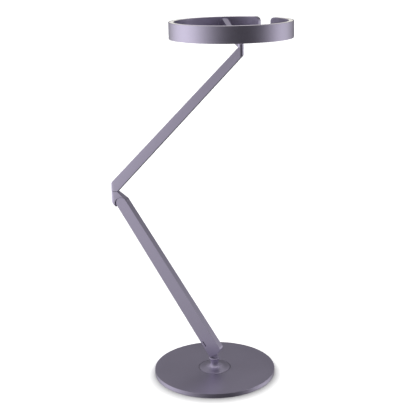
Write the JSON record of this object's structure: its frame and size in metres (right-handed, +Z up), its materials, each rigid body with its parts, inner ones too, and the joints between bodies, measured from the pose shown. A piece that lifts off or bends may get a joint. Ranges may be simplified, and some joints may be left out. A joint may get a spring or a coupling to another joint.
{
  "type": "swing arm desk lamp",
  "caption": "Swing arm desk lamp with a round base, two folding flat arms and a C-shaped ring light head on a short head arm.",
  "frame": {"origin": "centre of the underside of the base, on the surface that the lamp stands on", "axes": "+Z up, +X along the arms towards the ring head, +Y towards the back where the power inlet is"},
  "size_m": [0.3529, 0.2396, 0.665],
  "materials": {
    "satin_coat": "satin metallic lilac-grey coat over aluminium, fine grain",
    "cast_weight": "machined cast iron",
    "pad_rubber": "matt anti-slip rubber",
    "bright_steel": "turned steel",
    "bush_bronze": "sintered bronze",
    "black_plastic": "matt black moulding",
    "board_green": "green circuit board",
    "washer_fibre": "friction fibre",
    "glide_plastic": "white glide plastic",
    "board_white": "white circuit board",
    "opal_plastic": "opal light diffuser"
  },
  "bodies": {
    "base": {"base_cover": "satin_coat", "base_weight": "cast_weight", "base_pad": "pad_rubber", "base_screws": "bright_steel", "swivel_bush": "bush_bronze", "power_inlet": "black_plastic", "inlet_contact": "bright_steel", "driver_board": "board_green", "driver_parts": "black_plastic", "glide_washer": "glide_plastic"},
    "stem": {"stem": "satin_coat", "stem_washer": "bright_steel", "stem_nut": "bush_bronze"},
    "lower": {"lower_arm": "satin_coat", "foot_pin": "bright_steel", "foot_pin_cap": "satin_coat", "foot_washers": "washer_fibre", "elbow_pin": "bright_steel", "elbow_pin_cap": "satin_coat", "elbow_washers": "washer_fibre", "lower_lead": "black_plastic"},
    "elbow": {"knuckle": "satin_coat", "elbow_swivel_pin": "bright_steel"},
    "upper": {"upper_arm": "satin_coat", "elbow_bush": "bush_bronze", "head_bush": "bush_bronze", "upper_grub_screws": "bright_steel", "upper_lead": "black_plastic"},
    "head": {"head_arm": "satin_coat", "head_swivel_pin": "bright_steel", "tilt_grub_screw": "bright_steel"},
    "ring": {"ring_frame": "satin_coat", "pivot_pad": "satin_coat", "tilt_pin": "bright_steel", "end_cap_left": "satin_coat", "end_cap_right": "satin_coat", "led_board_top": "board_white", "led_board_bottom": "board_white", "diffuser_top": "opal_plastic", "diffuser_bottom": "opal_plastic"}
  },
  "joints": [
    {"name": "base_swivel", "type": "hinge", "parent": "base", "child": "stem", "pos_m": [0, 0, 0.0068], "axis": [0, 0, 1], "range_deg": [-170, 170]},
    {"name": "foot_tilt", "type": "hinge", "parent": "stem", "child": "lower", "pos_m": [0, 0, 0.0467], "axis": [0, -1, 0], "range_deg": [-33, 35]},
    {"name": "elbow_tilt", "type": "hinge", "parent": "lower", "child": "elbow", "pos_m": [-0.18445, 0, 0.32118], "axis": [0, -1, 0], "range_deg": [-38, 34]},
    {"name": "elbow_swivel", "type": "hinge", "parent": "elbow", "child": "upper", "pos_m": [-0.20305, 0, 0.34298], "axis": [0, 0, 1], "range_deg": [-170, 170]},
    {"name": "head_swivel", "type": "hinge", "parent": "upper", "child": "head", "pos_m": [0.05895, 0, 0.62159], "axis": [0, 0, 1], "range_deg": [-170, 170]},
    {"name": "ring_tilt", "type": "hinge", "parent": "head", "child": "ring", "pos_m": [0.00188, 0.08211, 0.65048], "axis": [-0.5707, 0.8211, 0], "range_deg": [-35, 35]}
  ]
}
